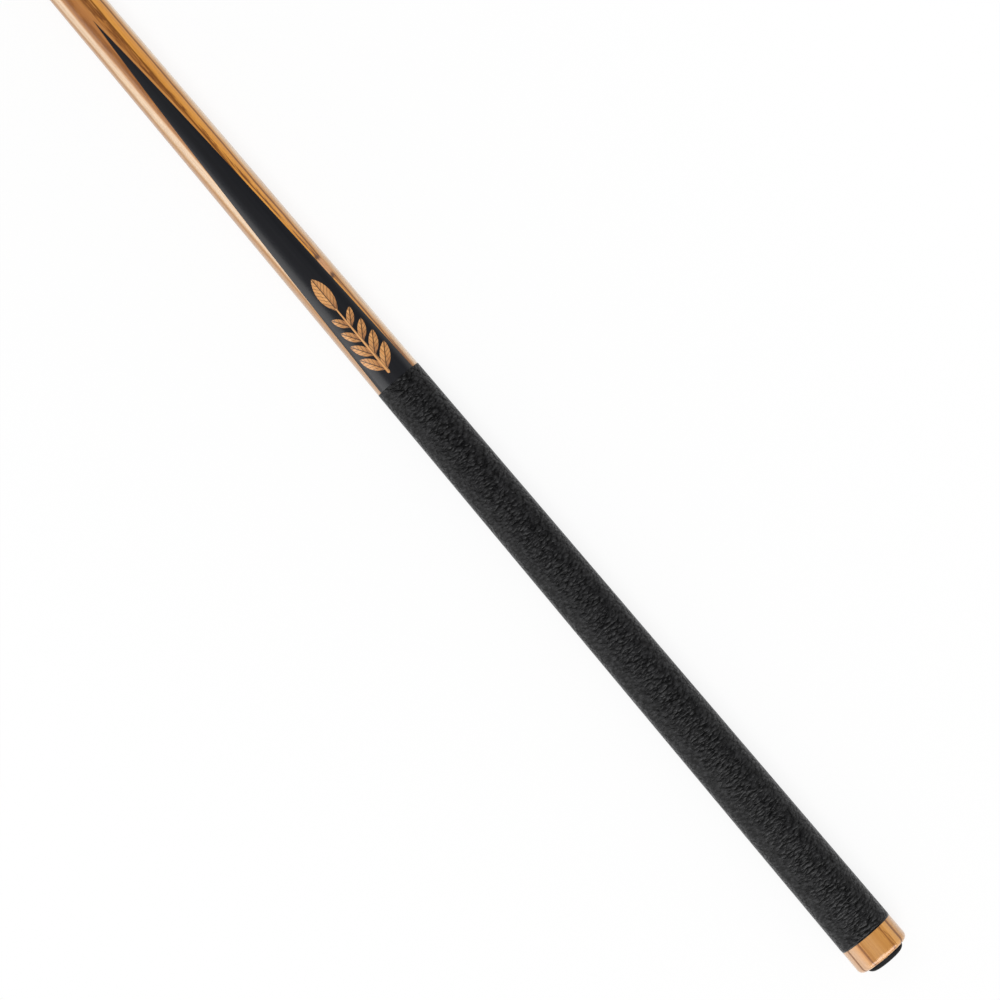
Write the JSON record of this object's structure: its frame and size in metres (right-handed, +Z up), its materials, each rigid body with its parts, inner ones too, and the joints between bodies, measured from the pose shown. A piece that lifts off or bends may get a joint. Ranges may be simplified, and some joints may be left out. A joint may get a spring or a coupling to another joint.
{
  "type": "pool cue",
  "caption": "Two-piece pool cue: leather-wrapped butt with black spliced points and leaf inlays, rubber bumper, screw joint and a tapered maple shaft.",
  "frame": {"origin": "centre of the bumper's end face", "axes": "+X along the cue's axis from the bumper to the tip, +Z up through the middle of the front point while the cue lies level"},
  "size_m": [1.473, 0.0314, 0.0314],
  "materials": {
    "bumper": "satin black rubber",
    "steel_hardware": "turned and threaded",
    "golden_wood": "golden, straight-grained wood under gloss lacquer",
    "black_plastic": "polished black",
    "core_maple": "sanded, unlacquered",
    "wrap_leather": "charcoal, creased pebble grain",
    "point_wood": "near-black wood under gloss lacquer",
    "inlay_wood": "light golden veneer under gloss lacquer",
    "ring_metal": "polished",
    "pin_steel": "bright, threaded",
    "insert_brass": "turned",
    "shaft_maple": "pale maple under satin lacquer",
    "ferrule_white": "polished off-white",
    "pad_fibre": "red fibre",
    "tip_leather": "chalked leather"
  },
  "bodies": {
    "butt": {"butt_sleeve": "golden_wood", "trim_ring": "black_plastic", "handle_core": "core_maple", "wrap": "wrap_leather", "weight_bolt": "steel_hardware", "a_joint_stud": "steel_hardware", "forearm": "golden_wood", "point_front": "point_wood", "point_back": "point_wood", "inlay_front": "inlay_wood", "inlay_back": "inlay_wood", "butt_ring": "ring_metal", "butt_collar": "black_plastic", "joint_pin": "pin_steel"},
    "bumper": {"bumper": "bumper"},
    "bumper_stud": {"bumper_stud": "steel_hardware"},
    "shaft_ring": {"shaft_ring": "ring_metal"},
    "shaft": {"shaft_collar": "black_plastic", "joint_insert": "insert_brass", "shaft": "shaft_maple", "ferrule": "ferrule_white", "tip_pad": "pad_fibre", "tip": "tip_leather"}
  },
  "joints": [
    {"name": "shaft_advance", "type": "slide", "parent": "butt", "child": "shaft_ring", "axis": [1, 0, 0], "range_m": [0, 0.02794]},
    {"name": "shaft_turn", "type": "hinge", "parent": "shaft_ring", "child": "shaft", "pos_m": [0.737, 0, 0], "axis": [1, 0, 0], "range_deg": [0, 3961]},
    {"name": "bumper_advance", "type": "slide", "parent": "butt", "child": "bumper", "axis": [-1, 0, 0], "range_m": [0, 0.01349]},
    {"name": "bumper_turn", "type": "hinge", "parent": "bumper", "child": "bumper_stud", "pos_m": [0, 0, 0], "axis": [-1, 0, 0], "range_deg": [0, 3061]}
  ],
  "couplings": [
    {"joint": "shaft_turn", "follows": "shaft_advance", "rad_per_m": 2473.7},
    {"joint": "bumper_turn", "follows": "bumper_advance", "rad_per_m": 3957.9}
  ]
}
